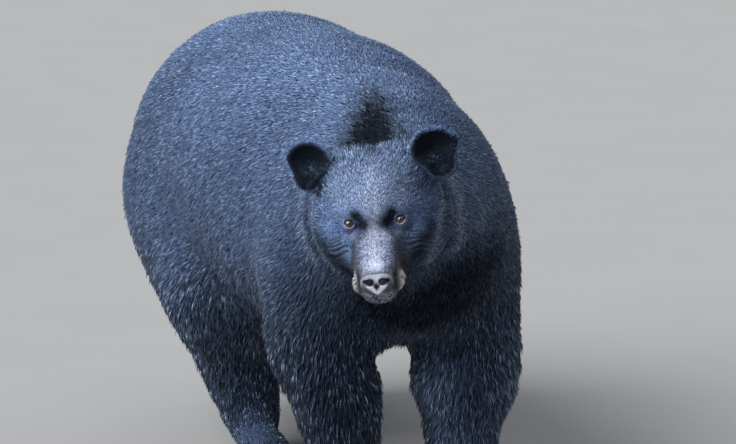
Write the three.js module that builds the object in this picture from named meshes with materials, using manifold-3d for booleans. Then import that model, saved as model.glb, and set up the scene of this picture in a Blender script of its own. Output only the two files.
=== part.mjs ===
// A life-size adult black bear in its coat, walking, with its head turned a little to its right.
// Units are millimetres. +Z is up, -Y is the way the bear walks and +X is its left side.
// The surface is the tip of the coat. The body is one smooth implicit shape, a blend of eggs
// and tapered limbs, which is turned into facets and parted into its named pieces by thin cuts.
import * as THREE from "three";
import { mergeVertices } from "three/addons/utils/BufferGeometryUtils.js";
import Module from "manifold-3d";

const wasm = await Module();
wasm.setup();

// ---------------------------------------------------------------- driving dimensions
const GAP = 0.4; // between two pieces that touch
const SHOULDER_HEIGHT = 950;
const RUMP_HEIGHT = 990;
const CLEARANCE = 335; // from the floor to the lowest point of the belly
const BELLY_HALF_WIDTH = 320;
const CHEST_HALF_WIDTH = 230;
const CHEST_HALF_DEPTH = 275;

const LEFT = 1;
const RIGHT = -1;
const SIDES = [
  ["left", LEFT],
  ["right", RIGHT],
];

// Where each paw stands: the middle of its sole, in the stride of a walk. Toes turn in by some degrees.
// The left foreleg bears more weight, so its elbow is the thicker.
const FORE_STANCE = { left: { x: 152, y: -470, elbow: 119 }, right: { x: -108, y: -455, elbow: 104 } };
const HIND_STANCE = { left: { x: 150, y: 500 }, right: { x: -120, y: 110 } };
const FORE_PAW = { halfWidth: 66, back: 38, front: 88, wrist: 112, turn: 7, claw: 40 };
const HIND_PAW = { halfWidth: 64, back: 118, front: 84, wrist: 104, turn: -4, claw: 32 };
const TOES = 5;
const TOE_RADIUS = 21;

// The head's own axes start midway between the eyes. Its turns are in degrees.
const HEAD = { at: [-196, -880, 740], pitch: 15, roll: -5.6, yaw: -22.2 };
const EYE = { x: 51.5, y: 7, z: 0, radius: 12.5 };
const NOSE = { y: -131, z: -65, radii: [33, 17, 19] };
const EAR = { x: 124, y: 104, z: 92 };
const CLAW_SPLAY = 14; // degrees between a paw's middle claw and its outer ones

const FUR = { color: 0x14161c, roughness: 0.85, metalness: 0 };
const NOSE_SKIN = { color: 0x15161a, roughness: 0.35, metalness: 0 };
const EYE_WET = { color: 0x3a2114, roughness: 0.08, metalness: 0 };
const CLAW_HORN = { color: 0x2a241f, roughness: 0.45, metalness: 0 };

// ---------------------------------------------------------------- implicit shapes
// Each is a function of x, y and z: about the distance to its surface, and negative inside.

const turning = (degrees) =>
  new THREE.Matrix4().makeRotationFromEuler(new THREE.Euler(...degrees.map(THREE.MathUtils.degToRad), "ZYX"));

// Moves a shape that is modelled in the axes of a matrix to its place.
function placed(matrix, shape) {
  const m = matrix.clone().invert().elements;
  return (x, y, z) =>
    shape(
      m[0] * x + m[4] * y + m[8] * z + m[12],
      m[1] * x + m[5] * y + m[9] * z + m[13],
      m[2] * x + m[6] * y + m[10] * z + m[14],
    );
}

function egg([cx, cy, cz], [rx, ry, rz], degrees = [0, 0, 0]) {
  const shape = (x, y, z) => {
    const reach = Math.hypot(x / rx, y / ry, z / rz);
    const slope = Math.hypot(x / rx ** 2, y / ry ** 2, z / rz ** 2);
    return (reach * (reach - 1)) / Math.max(slope, 1e-9);
  };
  return placed(turning(degrees).setPosition(cx, cy, cz), shape);
}

// A round tapered limb through joints, each [x, y, z, radius].
function limb(...joints) {
  return (x, y, z) => {
    let nearest = Infinity;
    for (let i = 1; i < joints.length; i++) {
      const [ax, ay, az, ar] = joints[i - 1];
      const [bx, by, bz, br] = joints[i];
      const [ux, uy, uz] = [bx - ax, by - ay, bz - az];
      const along = ((x - ax) * ux + (y - ay) * uy + (z - az) * uz) / (ux * ux + uy * uy + uz * uz);
      const t = Math.min(1, Math.max(0, along));
      const away = Math.hypot(x - ax - t * ux, y - ay - t * uy, z - az - t * uz);
      nearest = Math.min(nearest, away - ar - t * (br - ar));
    }
    return nearest;
  };
}

// Joins shapes with a fillet about as wide as the radius.
function blend(radius, ...shapes) {
  return (x, y, z) => {
    let joined = shapes[0](x, y, z);
    for (let i = 1; i < shapes.length; i++) {
      const other = shapes[i](x, y, z);
      const near = Math.max(radius - Math.abs(joined - other), 0) / radius;
      joined = Math.min(joined, other) - (near * near * radius) / 4;
    }
    return joined;
  };
}

const paired = (make) => [make(LEFT), make(RIGHT)];

// ---------------------------------------------------------------- the bear's masses
const BELLY_HALF_DEPTH = (RUMP_HEIGHT - CLEARANCE) / 2;
const trunk = blend(
  80,
  egg([0, 60, CLEARANCE + BELLY_HALF_DEPTH], [BELLY_HALF_WIDTH, 440, BELLY_HALF_DEPTH]), // belly
  egg([0, 385, RUMP_HEIGHT - 315], [322, 365, 315]), // rump
  egg([0, -340, SHOULDER_HEIGHT - CHEST_HALF_DEPTH], [CHEST_HALF_WIDTH, 320, CHEST_HALF_DEPTH]), // rib cage
  egg([0, -130, 661], [275, 300, 309]), // flanks
  egg([0, -550, 597], [165, 150, 163]), // brisket
);
const shoulders = paired((side) => egg([side * 148, -385, 620], [114, 180, 205], [6, 0, 0]));
const haunches = SIDES.map(([name, side]) =>
  egg([side * 180, 400 + HIND_STANCE[name].y * 0.12, 560], [122, 245, 280], [-8, 0, 0]),
);
const neck = limb([0, -420, 685, 222], [-62, -600, 715, 182], [-112, -715, 738, 132]);

const forelegs = SIDES.map(([name, side]) => {
  const { x, y, elbow } = FORE_STANCE[name];
  return limb(
    [side * 165, -420, 560, 120],
    [side * 175, -410, 400, elbow],
    [side * 64 + x * 0.63, y + 25, 300, elbow],
    [x + side * 3, y + 30, 190, 88],
    [x, y + 18, 110, 78],
  );
});
const hindlegs = SIDES.map(([name, side]) => {
  const { x, y } = HIND_STANCE[name];
  const knee = [side * 185, y * 0.5 + 140, 390];
  const hock = [x * 0.75 + side * 50, y + 125, 220];
  return blend(
    50,
    limb([side * 175, 440, 560, 165], [...knee, 134]),
    limb([side * 165, 540 + y * 0.1, 520, 125], [...hock, 84]), // back of the thigh
    limb([...knee, 132], [...hock, 92], [x, y + 98, 100, 72]),
  );
});

// A paw in its own axes: the middle of the sole at the origin, the toes towards -Y.
const toeAcross = (toe) => (2 * toe) / (TOES - 1) - 1;
function toeTip(toe, { halfWidth, front }) {
  const across = toeAcross(toe);
  return [across * (halfWidth - TOE_RADIUS + 5), TOE_RADIUS - front + 20 * across ** 2, TOE_RADIUS + 2];
}
function paw(size) {
  const { halfWidth, back, front } = size;
  const toes = [...Array(TOES).keys()].map((toe) =>
    limb([toeAcross(toe) * halfWidth * 0.45, -8, 42, TOE_RADIUS], [...toeTip(toe, size), TOE_RADIUS]),
  );
  const pad = limb(
    [0, back, 44, halfWidth * 0.66],
    [0, 0, 46, halfWidth * 0.78],
    [0, -front * 0.4, 38, halfWidth * 0.72],
  );
  return blend(24, pad, blend(10, ...toes));
}
const PAWS = [
  ...SIDES.map(([name, side]) => [`forepaw_${name}`, side, FORE_STANCE[name], FORE_PAW]),
  ...SIDES.map(([name, side]) => [`hindpaw_${name}`, side, HIND_STANCE[name], HIND_PAW]),
];
const pawPlace = (side, { x, y }, { turn }) => turning([0, 0, -side * turn]).setPosition(x, y, 0);
const paws = PAWS.map(([, side, stance, size]) => placed(pawPlace(side, stance, size), paw(size)));

const cranium = blend(
  26,
  egg([0, 104, 18], [108, 106, 92]), // cranium
  egg([0, 66, 18], [60, 78, 54]), // forehead
  ...paired((side) => egg([side * 54, 124, 66], [54, 64, 50])), // fur in front of the ears
  ...paired((side) => egg([side * 48, 42, 17], [28, 30, 20])), // brow
  ...paired((side) => egg([side * 66, 78, -46], [66, 76, 66])), // cheek
  ...paired((side) => egg([side * 80, 112, -46], [54, 60, 90])), // ruff
  egg([0, 72, -90], [76, 92, 58]), // throat
);
const muzzle = blend(
  16,
  ...paired((side) => limb([side * 20, 14, -32, 34], [side * 14, -106, -62, 28])), // bridge
  ...paired((side) => limb([side * 30, 2, -76, 36], [side * 18, -102, -86, 26])), // upper lips
  ...paired((side) => limb([side * 22, 26, -92, 44], [side * 10, -84, -106, 26])), // lower jaw
);
const headPlace = turning([HEAD.pitch, HEAD.roll, HEAD.yaw]).setPosition(...HEAD.at);
const head = placed(headPlace, blend(22, cranium, muzzle));

const body = blend(
  70,
  blend(60, trunk, ...shoulders, ...haunches),
  neck,
  blend(55, ...forelegs, head),
  ...hindlegs,
);
const bear = blend(26, body, ...paws);
const tail = limb([0, 690, 740, 40], [0, 736, 672, 34], [0, 746, 602, 19]);

// ---------------------------------------------------------------- facets
// The six faces of a grid cell, each as its corners in order. A corner's bits are its x, y and z.
const CELL_CORNERS = [0, 1, 2, 3, 4, 5, 6, 7].map((corner) => [corner & 1, (corner >> 1) & 1, corner >> 2]);
const CELL_FACES = [
  [0, 2, 6, 4],
  [1, 3, 7, 5],
  [0, 4, 5, 1],
  [2, 6, 7, 3],
  [0, 1, 3, 2],
  [4, 5, 7, 6],
];
const edgeKey = (a, b) => Math.min(a, b) * 8 + (a ^ b);

// The edges of a cell that the surface crosses, in one list for each sheet of surface in the cell.
function sheetsInCell(held) {
  const sheetOf = new Map();
  const join = (first, second) => {
    const merged = [...new Set([...(sheetOf.get(first) ?? [first]), ...(sheetOf.get(second) ?? [second])])];
    for (const edge of merged) sheetOf.set(edge, merged);
  };
  for (const face of CELL_FACES) {
    const around = face.map((corner, n) => [corner, face[(n + 3) % 4], face[(n + 1) % 4]]);
    const crossed = around.filter(([corner, , next]) => held[corner] < 0 !== held[next] < 0);
    if (crossed.length === 2) join(...crossed.map(([corner, , next]) => edgeKey(corner, next)));
    if (crossed.length === 4)
      for (const [corner, previous, next] of around)
        if (held[corner] < 0) join(edgeKey(corner, previous), edgeKey(corner, next));
  }
  return new Set(sheetOf.values());
}

// Turns a shape into a closed mesh: one vertex for each sheet of surface in a cell of the grid,
// moved on to the surface. The mesh is closed off at the sides of the box. All grids of one cell
// size line up, so neighbours made with it match at the cut between them.
function facet(shape, from, to, cell) {
  const low = from.map((n) => Math.floor(n / cell) * cell);
  const size = [0, 1, 2].map((m) => Math.ceil((to[m] - low[m]) / cell) + 1);
  const [nx, ny, nz] = size;
  const index = (i, j, k) => i + nx * (j + ny * k);
  const onSide = (place) => place.some((n, m) => n === 0 || n === size[m] - 1);
  const values = new Float32Array(nx * ny * nz);
  for (let k = 0; k < nz; k++)
    for (let j = 0; j < ny; j++)
      for (let i = 0; i < nx; i++) {
        const found = shape(low[0] + i * cell, low[1] + j * cell, low[2] + k * cell);
        values[index(i, j, k)] = onSide([i, j, k]) ? Math.max(found, cell / 2) : found;
      }
  const points = [];
  const vertexAt = new Map();
  for (let k = 0; k < nz - 1; k++)
    for (let j = 0; j < ny - 1; j++)
      for (let i = 0; i < nx - 1; i++) {
        const held = CELL_CORNERS.map(([a, b, c]) => values[index(i + a, j + b, k + c)]);
        if (held.every((value) => value < 0) || held.every((value) => value >= 0)) continue;
        for (const edges of sheetsInCell(held)) {
          const sum = [0, 0, 0];
          for (const edge of edges) {
            const a = edge >> 3;
            const b = a ^ (edge & 7);
            const t = held[a] / (held[a] - held[b]);
            for (let m = 0; m < 3; m++) sum[m] += CELL_CORNERS[a][m] * (1 - t) + CELL_CORNERS[b][m] * t;
            vertexAt.set(index(i, j, k) * 64 + edge, points.length);
          }
          const at = [i, j, k].map((n, m) => low[m] + cell * (n + sum[m] / edges.length));
          const inner = [i, j, k].every((n, m) => n > 0 && n < size[m] - 2);
          points.push(inner ? onSurface(shape, at, cell) : at);
        }
      }
  const triangles = [];
  const apart = (p, q) => Math.hypot(...[0, 1, 2].map((m) => points[p][m] - points[q][m]));
  for (let k = 0; k < nz - 1; k++)
    for (let j = 0; j < ny - 1; j++)
      for (let i = 0; i < nx - 1; i++)
        for (let m = 0; m < 3; m++) {
          const here = [i, j, k];
          const beyond = here.map((n, axis) => n + (axis === m ? 1 : 0));
          const inside = values[index(...here)] < 0;
          if (inside === values[index(...beyond)] < 0) continue;
          const [p, q] = [(m + 1) % 3, (m + 2) % 3];
          const [a, b, c, d] = [[1, 1], [0, 1], [0, 0], [1, 0]].map(([back, down]) => {
            const cellAt = [...here];
            cellAt[p] -= back;
            cellAt[q] -= down;
            const corner = (back << p) | (down << q);
            return vertexAt.get(index(...cellAt) * 64 + edgeKey(corner, corner | (1 << m)));
          });
          const halves = apart(a, c) < apart(b, d) ? [[a, b, c], [a, c, d]] : [[b, c, d], [b, d, a]];
          for (const [u, v, w] of halves) triangles.push(...(inside ? [u, v, w] : [u, w, v]));
        }
  return solidOf(Float32Array.from(points.flat()), Uint32Array.from(triangles));
}

// How fast a shape's value rises along x, y and z at a point.
function slopeOf(shape, at) {
  const step = 0.5;
  return [0, 1, 2].map((m) => {
    const ahead = at.map((n, axis) => n + (axis === m ? step : 0));
    const behind = at.map((n, axis) => n - (axis === m ? step : 0));
    return (shape(...ahead) - shape(...behind)) / (2 * step);
  });
}

// Moves a point down the slope of the shape on to its surface, unless that is far away.
function onSurface(shape, start, cell) {
  let at = start;
  for (let turn = 0; turn < 4; turn++) {
    const value = shape(...at);
    const slope = slopeOf(shape, at);
    const steepness = Math.max(slope[0] ** 2 + slope[1] ** 2 + slope[2] ** 2, 0.05);
    at = at.map((n, m) => n - (value * slope[m]) / steepness);
  }
  const moved = Math.hypot(...at.map((n, m) => n - start[m]));
  return moved < cell * 0.6 ? at : start;
}

// The same facets of a shape, moved out by the gap, to cut a neighbour with.
function swollen(solid, shape) {
  const { vertProperties, triVerts } = solid.getMesh();
  for (let n = 0; n < vertProperties.length; n += 3) {
    const slope = slopeOf(shape, [...vertProperties.slice(n, n + 3)]);
    const steepness = Math.max(Math.hypot(...slope), 1e-6);
    slope.forEach((rise, m) => {
      vertProperties[n + m] += (1.2 * GAP * rise) / steepness;
    });
  }
  return solidOf(vertProperties, triVerts);
}

function solidOf(vertProperties, triVerts) {
  return new wasm.Manifold(new wasm.Mesh({ numProp: 3, vertProperties, triVerts }));
}

// ---------------------------------------------------------------- thin cuts
const REACH = 3000; // more than the bear's own length

function solidFrom(geometry) {
  geometry.deleteAttribute("normal");
  geometry.deleteAttribute("uv");
  const merged = mergeVertices(geometry, 1e-3);
  return solidOf(Float32Array.from(merged.attributes.position.array), Uint32Array.from(merged.index.array));
}

// All of the space beyond a plane, less half the gap of the cut.
function beyond(point, normal) {
  const forward = new THREE.Vector3(...normal).normalize();
  const facing = new THREE.Quaternion().setFromUnitVectors(new THREE.Vector3(0, 0, 1), forward);
  const block = new THREE.BoxGeometry(REACH, REACH, REACH).translate(0, 0, (REACH + GAP) / 2);
  return solidFrom(block.applyQuaternion(facing).translate(...point));
}

// The space on each side of a plane.
const parted = (point, normal) => [beyond(point, normal), beyond(point, normal.map((n) => -n))];
const within = (solid, ...spaces) => spaces.reduce((kept, space) => kept.intersect(space), solid);
const without = (solid, ...tools) => tools.reduce((kept, tool) => kept.subtract(tool), solid);

const onHead = (...point) => new THREE.Vector3(...point).applyMatrix4(headPlace).toArray();
const headForward = new THREE.Vector3(0, -1, 0).transformDirection(headPlace);

const [aboveFloor] = parted([0, 0, -GAP / 2], [0, 0, 1]);
const [muzzleSpace, behindMuzzle] = parted(onHead(0, -30, -60), headForward.toArray());
const [aheadOfNape, behindNape] = parted(onHead(0, 172, 10), [headForward.x, headForward.y, 0]);
const [aheadOfCollar, behindCollar] = parted([-40, -545, 722], [-0.35, -0.75, 0.55]);
const [aheadOfRibs, behindRibs] = parted([0, -140, 0], [0, -1, 0]);
const [aheadOfLoin, behindLoin] = parted([0, 320, 0], [0, -1, 0]);

// Each side's leg is cut from the trunk by a sloping plane, and by level ones at its joints.
const legSpaces = Object.fromEntries(
  SIDES.map(([name, side]) => {
    const [ownSide] = parted([0, 0, 0], [side, 0, 0]);
    const [outer, inner] = parted([side * 150, 0, 0], [side, 0, 0]);
    const [belowElbow, aboveElbow] = parted([side * 40, 0, 368], [side * 0.385, 0, -0.923]);
    const [outsideHip, insideHip] = parted([side * 50, 0, 325], [side * 0.867, 0, -0.498]);
    const [behindFlank, aheadOfFlank] = parted([0, HIND_STANCE[name].y * 0.5 - 20, 0], [0, 1, 0]);
    const besideThigh = insideHip.add(aheadOfFlank);
    return [name, { ownSide, outer, inner, belowElbow, aboveElbow, outsideHip, behindFlank, besideThigh }];
  }),
);
const { left, right } = legSpaces;
const [belowWrist, aboveWrist] = parted([0, 0, FORE_PAW.wrist], [0, 0, -1]);
const [belowKnee, aboveKnee] = parted([0, 0, 300], [0, 0, -1]);
const [belowAnkle, aboveAnkle] = parted([0, 0, HIND_PAW.wrist], [0, 0, -1]);

// A round ear: a dish on a lathe, open forwards, on the side of the head.
const EAR_PROFILE = [
  [0, -2],
  [22, -4],
  [36, -13],
  [44, -23],
  [51, -21],
  [53, -10],
  [47, 7],
  [28, 18],
  [0, 21],
];

function earSolid(side) {
  const profile = EAR_PROFILE.map(([radius, back]) => new THREE.Vector2(radius, back));
  const lathe = new THREE.LatheGeometry(profile, 16);
  const place = turning([-8, side * 18, side * 10]).setPosition(side * EAR.x, EAR.y, EAR.z);
  return solidFrom(lathe.applyMatrix4(headPlace.clone().multiply(place)));
}

// ---------------------------------------------------------------- pieces
const model = new THREE.Group();

function add(name, solid, look) {
  const { vertProperties, triVerts } = solid.getMesh();
  const geometry = new THREE.BufferGeometry()
    .setAttribute("position", new THREE.BufferAttribute(vertProperties, 3))
    .setIndex(new THREE.BufferAttribute(triVerts, 1));
  const mesh = new THREE.Mesh(geometry, new THREE.MeshStandardMaterial(look));
  mesh.name = name;
  model.add(mesh);
}

const around = (point, reach) => [point.map((n) => n - reach), point.map((n) => n + reach)];

// The size of the facets on each kind of piece.
const CELL = {
  trunk: 86,
  thigh: 68,
  leg: 50,
  neck: 58,
  head: 29,
  muzzle: 17,
  paw: 32,
  tail: 28,
  nose: 13,
  eye: 7,
};

function addTrunk() {
  const chest = facet(bear, [-400, -860, 280], [400, 0, 1040], CELL.trunk);
  const front = [behindCollar, aheadOfRibs];
  add("chest", within(chest, ...front, left.inner, right.inner, left.aboveElbow, right.aboveElbow), FUR);
  for (const [name] of SIDES) {
    const { outer, aboveElbow } = legSpaces[name];
    add(`shoulder_${name}`, within(chest, ...front, outer, aboveElbow), FUR);
  }
  const hind = facet(bear, [-400, -260, 240], [400, 830, 1060], CELL.trunk);
  add("belly", within(hind, behindRibs, aheadOfLoin, left.besideThigh, right.besideThigh), FUR);
  add("rump", within(hind, behindLoin, left.besideThigh, right.besideThigh), FUR);
  add("tail", facet(tail, [-60, 620, 560], [60, 820, 800], CELL.tail).subtract(swollen(hind, bear)), FUR);
}

function addNeck() {
  const neckFacets = facet(bear, [-420, -960, 300], [360, -300, 1010], CELL.neck);
  add("neck", within(neckFacets, aheadOfCollar, behindNape), FUR);
}

function addHead() {
  const sockets = [];
  function addSocketed(name, shape, middle, cell, look) {
    const solid = facet(shape, ...around(middle, 55), cell);
    sockets.push(swollen(solid, shape));
    add(name, solid, look);
  }
  const skull = facet(bear, ...around(onHead(0, 20, -10), 260), CELL.head);
  for (const [name, side] of SIDES) {
    const eye = onHead(side * EYE.x, EYE.y, EYE.z);
    addSocketed(`eye_${name}`, egg(eye, Array(3).fill(EYE.radius)), eye, CELL.eye, EYE_WET);
    add(`ear_${name}`, earSolid(side).subtract(swollen(skull, bear)), FUR);
  }
  const nose = placed(headPlace, egg([0, NOSE.y, NOSE.z], NOSE.radii));
  addSocketed("nose", nose, onHead(0, NOSE.y, NOSE.z), CELL.nose, NOSE_SKIN);
  add("head", without(within(skull, behindMuzzle, aheadOfNape, aheadOfCollar), ...sockets), FUR);
  const snout = facet(bear, ...around(onHead(0, -90, -60), 130), CELL.muzzle);
  add("muzzle", without(snout.intersect(muzzleSpace), ...sockets), FUR);
}

function addLegs() {
  for (const [name, side] of SIDES) {
    const { ownSide, belowElbow, outsideHip, behindFlank } = legSpaces[name];
    const beside = ([low, high]) => (side === LEFT ? [low, high] : [-high, -low]);
    const [inner, outer] = beside([-60, 400]);
    const hindY = HIND_STANCE[name].y;
    const foreleg = facet(bear, [inner, -660, 40], [outer, -80, 560], CELL.leg);
    add(`forearm_${name}`, within(foreleg, belowElbow, aboveWrist, ownSide, aheadOfRibs), FUR);
    const thigh = facet(bear, [inner, hindY * 0.5 - 130, 210], [outer, 840, 1040], CELL.thigh);
    add(`thigh_${name}`, within(thigh, outsideHip, behindFlank, aboveKnee), FUR);
    const shank = facet(bear, [inner, hindY - 150, 40], [outer, hindY + 360, 380], CELL.leg);
    add(`shank_${name}`, within(shank, belowKnee, aboveAnkle, ownSide), FUR);
  }
}

const PAW_ROOM = { across: 120, ahead: 190, behind: 250, above: 60 }; // the grid round a paw, from its sole
// A curved, tapering claw that grows forward out of a toe and bends down.
const CLAW = { rings: 4, sides: 5, rise: 12, droop: 62, halfWidth: 4.6, halfHeight: 6.6 };

function clawSolid(place, length, growth) {
  const points = [];
  const at = new THREE.Vector3(0, growth, 0);
  for (let ring = 0; ring < CLAW.rings; ring++) {
    const along = ring / CLAW.rings;
    const pitch = THREE.MathUtils.degToRad(CLAW.rise - along * (CLAW.rise + CLAW.droop));
    const taper = 1 - 0.75 * along ** 1.4;
    for (let k = 0; k < CLAW.sides; k++) {
      const turn = (2 * Math.PI * k) / CLAW.sides;
      const wide = Math.cos(turn) * (CLAW.halfWidth * taper + growth);
      const high = Math.sin(turn) * (CLAW.halfHeight * taper + growth);
      points.push([at.x + wide, at.y + high * Math.sin(pitch), at.z + high * Math.cos(pitch)]);
    }
    const step = (length + growth) / CLAW.rings;
    at.add(new THREE.Vector3(0, -Math.cos(pitch) * step, Math.sin(pitch) * step));
  }
  const tip = points.push(at.toArray()) - 1;
  const triangles = [];
  for (let k = 0; k < CLAW.sides; k++) {
    const next = (k + 1) % CLAW.sides;
    for (let ring = 0; ring < CLAW.rings - 1; ring++) {
      const [a, b] = [ring * CLAW.sides + k, ring * CLAW.sides + next];
      triangles.push(a, b, b + CLAW.sides, a, b + CLAW.sides, a + CLAW.sides);
    }
    const last = (CLAW.rings - 1) * CLAW.sides;
    triangles.push(last + k, last + next, tip);
    if (k > 1) triangles.push(0, k, k - 1);
  }
  const placedPoints = points.flatMap((point) => new THREE.Vector3(...point).applyMatrix4(place).toArray());
  return solidOf(Float32Array.from(placedPoints), Uint32Array.from(triangles));
}

function addPaws() {
  for (const [name, side, stance, size] of PAWS) {
    const place = pawPlace(side, stance, size);
    const claws = (growth) =>
      [...Array(TOES).keys()].map((toe) => {
        const [x, y, z] = toeTip(toe, size);
        const splay = turning([0, 0, toeAcross(toe) * CLAW_SPLAY]).setPosition(x, y - TOE_RADIUS + 7, z + 3);
        return clawSolid(place.clone().multiply(splay), size.claw, growth);
      });
    const low = [stance.x - PAW_ROOM.across, stance.y - PAW_ROOM.ahead, -PAW_ROOM.above];
    const high = [stance.x + PAW_ROOM.across, stance.y + PAW_ROOM.behind, size.wrist + PAW_ROOM.above];
    const below = size === FORE_PAW ? belowWrist : belowAnkle;
    const { ownSide } = side === LEFT ? left : right;
    const whole = within(facet(bear, low, high, CELL.paw), below, aboveFloor, ownSide);
    add(name, without(whole, ...claws(GAP)), FUR);
    claws(0).forEach((claw, toe) => add(`${name}_claw_${toe + 1}`, claw, CLAW_HORN));
  }
}

addHead();
addNeck();
addTrunk();
addLegs();
addPaws();

// The origin is on the floor under the middle of the whole.
const extent = new THREE.Box3().setFromObject(model, true);
const middle = extent.getCenter(new THREE.Vector3());
model.position.set(-middle.x, -middle.y, -extent.min.z);

export default model;
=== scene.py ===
"""A life-size black bear in its coat, walking, with its head turned a little to its right.

One skin stands for the frame's body nodes and lies inside them by the depth of the coat. The coat
is solid tufts rooted on that skin: longest on the belly and legs, shortest on the face and feet.
Lengths are in metres in the row frame (-Y ahead, +X the bear's left, +Z up). The head's own shapes
are in millimetres in the head's axes, which start between the eyes.
"""
import math

import bmesh
import bpy
import numpy as np
from mathutils import Euler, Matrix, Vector


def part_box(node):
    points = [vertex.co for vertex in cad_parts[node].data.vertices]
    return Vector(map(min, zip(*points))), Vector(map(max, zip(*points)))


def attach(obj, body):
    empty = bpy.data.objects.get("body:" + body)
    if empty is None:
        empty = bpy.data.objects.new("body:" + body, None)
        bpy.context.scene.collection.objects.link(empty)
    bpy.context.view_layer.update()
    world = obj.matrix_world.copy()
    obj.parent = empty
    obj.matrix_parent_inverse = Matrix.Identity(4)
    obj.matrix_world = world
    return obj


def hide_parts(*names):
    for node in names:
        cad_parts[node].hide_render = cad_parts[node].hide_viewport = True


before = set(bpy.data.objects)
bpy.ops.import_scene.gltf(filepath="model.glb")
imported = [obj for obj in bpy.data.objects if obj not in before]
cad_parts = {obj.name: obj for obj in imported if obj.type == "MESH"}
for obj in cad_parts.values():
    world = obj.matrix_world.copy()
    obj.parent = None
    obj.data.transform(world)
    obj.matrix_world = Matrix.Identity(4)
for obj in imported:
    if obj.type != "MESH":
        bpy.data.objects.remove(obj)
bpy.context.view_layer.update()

# ---- driving values
SEED = 11
BODY = "root"
SIDES = {"left": 1, "right": -1}
MM = 0.001

VOXEL = 0.0092  # the grid of the skin on the trunk and legs
TUFTS = 365000
PIECE_TUFTS = 49000  # in one coat piece, at four triangles a tuft
ROOT_PATCH = 0.0015  # half the width of a tuft's patch on the unwrap
LOWEST = 0.0008  # no tuft reaches lower than this, so none goes through the floor
LEG_TOP = 0.42  # tufts rooted lower than this are in the legs' pieces
SMOOTHING_ROUNDS = 44
SMOOTHING_HEIGHTS = [0.03, 0.12, 0.3, 0.5]  # in metres up the legs ...
SMOOTHING_SHARES = [0.06, 0.12, 0.35, 0.8]  # ... and how strongly the skin is evened out there

# The head in millimetres, as the frame's solids have it.
HEAD_MIDDLE = (0, 60, -20)
HEAD_REACH = 240  # from that middle to where the head's own shapes start to fade
EAR_REACH = 84  # from an ear's middle to the edge of what is shaped as ear
EYE_RADIUS = 12.5
EYE_PLACE = np.array([51.5, 7.0, 0.0])
NOSE_PLACE = np.array([0.0, -131.0, -65.0])
EAR_PLACE = np.array([124.0, 104.0, 92.0])
EAR_TURN = (-8.0, 18.0, 10.0)  # degrees, and the last two are mirrored on the right
NECK = [(2, 469, -183, 222), (16, 292, -106, 182), (15, 177, -51, 132)]
GAZE = np.array([0.0, -0.90, 0.436])  # where both eyes look
RISE = np.cross(GAZE, (1, 0, 0))  # square to the gaze, upwards
EYE_AXES = np.array([(1, 0, 0), RISE, GAZE])

# How long the coat is, in millimetres, at heights up the legs and trunk in metres ...
BODY_HEIGHTS = [0.02, 0.09, 0.20, 0.36, 0.60, 0.95]
BODY_LENGTHS = [10, 18, 34, 38, 27, 23]
# ... and at places on the head, by how far back and out they are.
HEAD_REACHES = [-60, -20, 30, 65, 105, 170]
HEAD_LENGTHS = [5, 6, 8, 11, 16, 28]
EAR_LENGTH = 7
# How far apart the roots are and how wide a tuft is, in millimetres, for each length.
LENGTHS = [5, 10, 20, 45]
SPACINGS = [1.5, 1.8, 2.3, 3.1]
WIDTHS = [0.8, 0.8, 0.95, 1.05]
CLUMPS = [5, 6, 8, 13]  # locks that tips draw together in
SPECKS = [1.8, 2.0, 2.6, 3.6]  # locks that share a tone
KNEE = 0.62  # how far along a tuft it is widest
LIFT = 0.34  # the coat's depth, as a share of its length
SHRINKAGE = 0.006  # what the smoothing takes off the trunk

# Linear colours of the coat.
BLACK = (0.027, 0.043, 0.092)
# The deep black is the black of lids and ears, and also painted shade in the coat's hollows and on the chest.
DEEP_BLACK_AND_SHADE = (0.004, 0.005, 0.007)
# The coat is black: the slate is painted sky sheen on its lit upper parts, and also the grey of the tuft in
# each ear hollow.
SLATE_SHEEN = (0.180, 0.265, 0.470)
# Mist and pale are painted highlights on the head; the pale of the blaze is also lighter hair.
MIST_HIGHLIGHT = (0.300, 0.410, 0.640)
PALE_HIGHLIGHT = (0.480, 0.540, 0.700)
TAUPE = (0.560, 0.570, 0.710)
BROWN = (0.075, 0.062, 0.068)
LILAC = (0.780, 0.800, 0.950)
DUSK = (0.110, 0.100, 0.140)
CREAM = (1.100, 0.980, 0.740)
GREYER = (0.85, 1.0, 1.22)  # what a bright tip's own mean is multiplied by
# The colour of the glints painted on the tips of tufts.
GLINT = (0.58, 0.68, 0.86, 1)
BRIGHTEST = (0.93, 0.93, 0.95, 1)
GLOSS_TINT = (0.70, 0.84, 1.0, 1)
SHEEN_TINT = (0.55, 0.74, 1.0, 1)
BLACKEST = (0.002, 0.002, 0.003, 1)
NOSTRIL_TONES = ((0.0006, 0.0006, 0.0008, 1), (0.0020, 0.0018, 0.0020, 1))
HORN_TONES = ((0.014, 0.011, 0.009, 1), (0.075, 0.055, 0.040, 1))
LID_TONES = ((0.008, 0.008, 0.012, 1), (0.34, 0.28, 0.31, 1))
LEATHER_TONES = ((0.040, 0.039, 0.048, 1), (0.105, 0.102, 0.125, 1))
# Pale leather on top of the pad, and below the nostrils a painted wet reflection.
PALE_TOP_AND_WET_GLEAM = (0.88, 0.89, 0.98, 1)
IRIS = [  # by the angle from the middle of the pupil, in radians
    (0.00, BLACKEST),
    (0.24, BLACKEST),
    (0.29, (0.070, 0.026, 0.020, 1)),
    (0.55, (0.110, 0.044, 0.036, 1)),
    (0.66, (0.025, 0.012, 0.009, 1)),
    (0.76, (0.120, 0.085, 0.085, 1)),
]

rng = np.random.default_rng(SEED)


# ---- the head's axes
def middle(node):
    low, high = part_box(node)
    return np.array((low + high) / 2)


def unit(vectors):
    return vectors / np.maximum(np.linalg.norm(vectors, axis=-1, keepdims=True), 1e-12)


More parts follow.
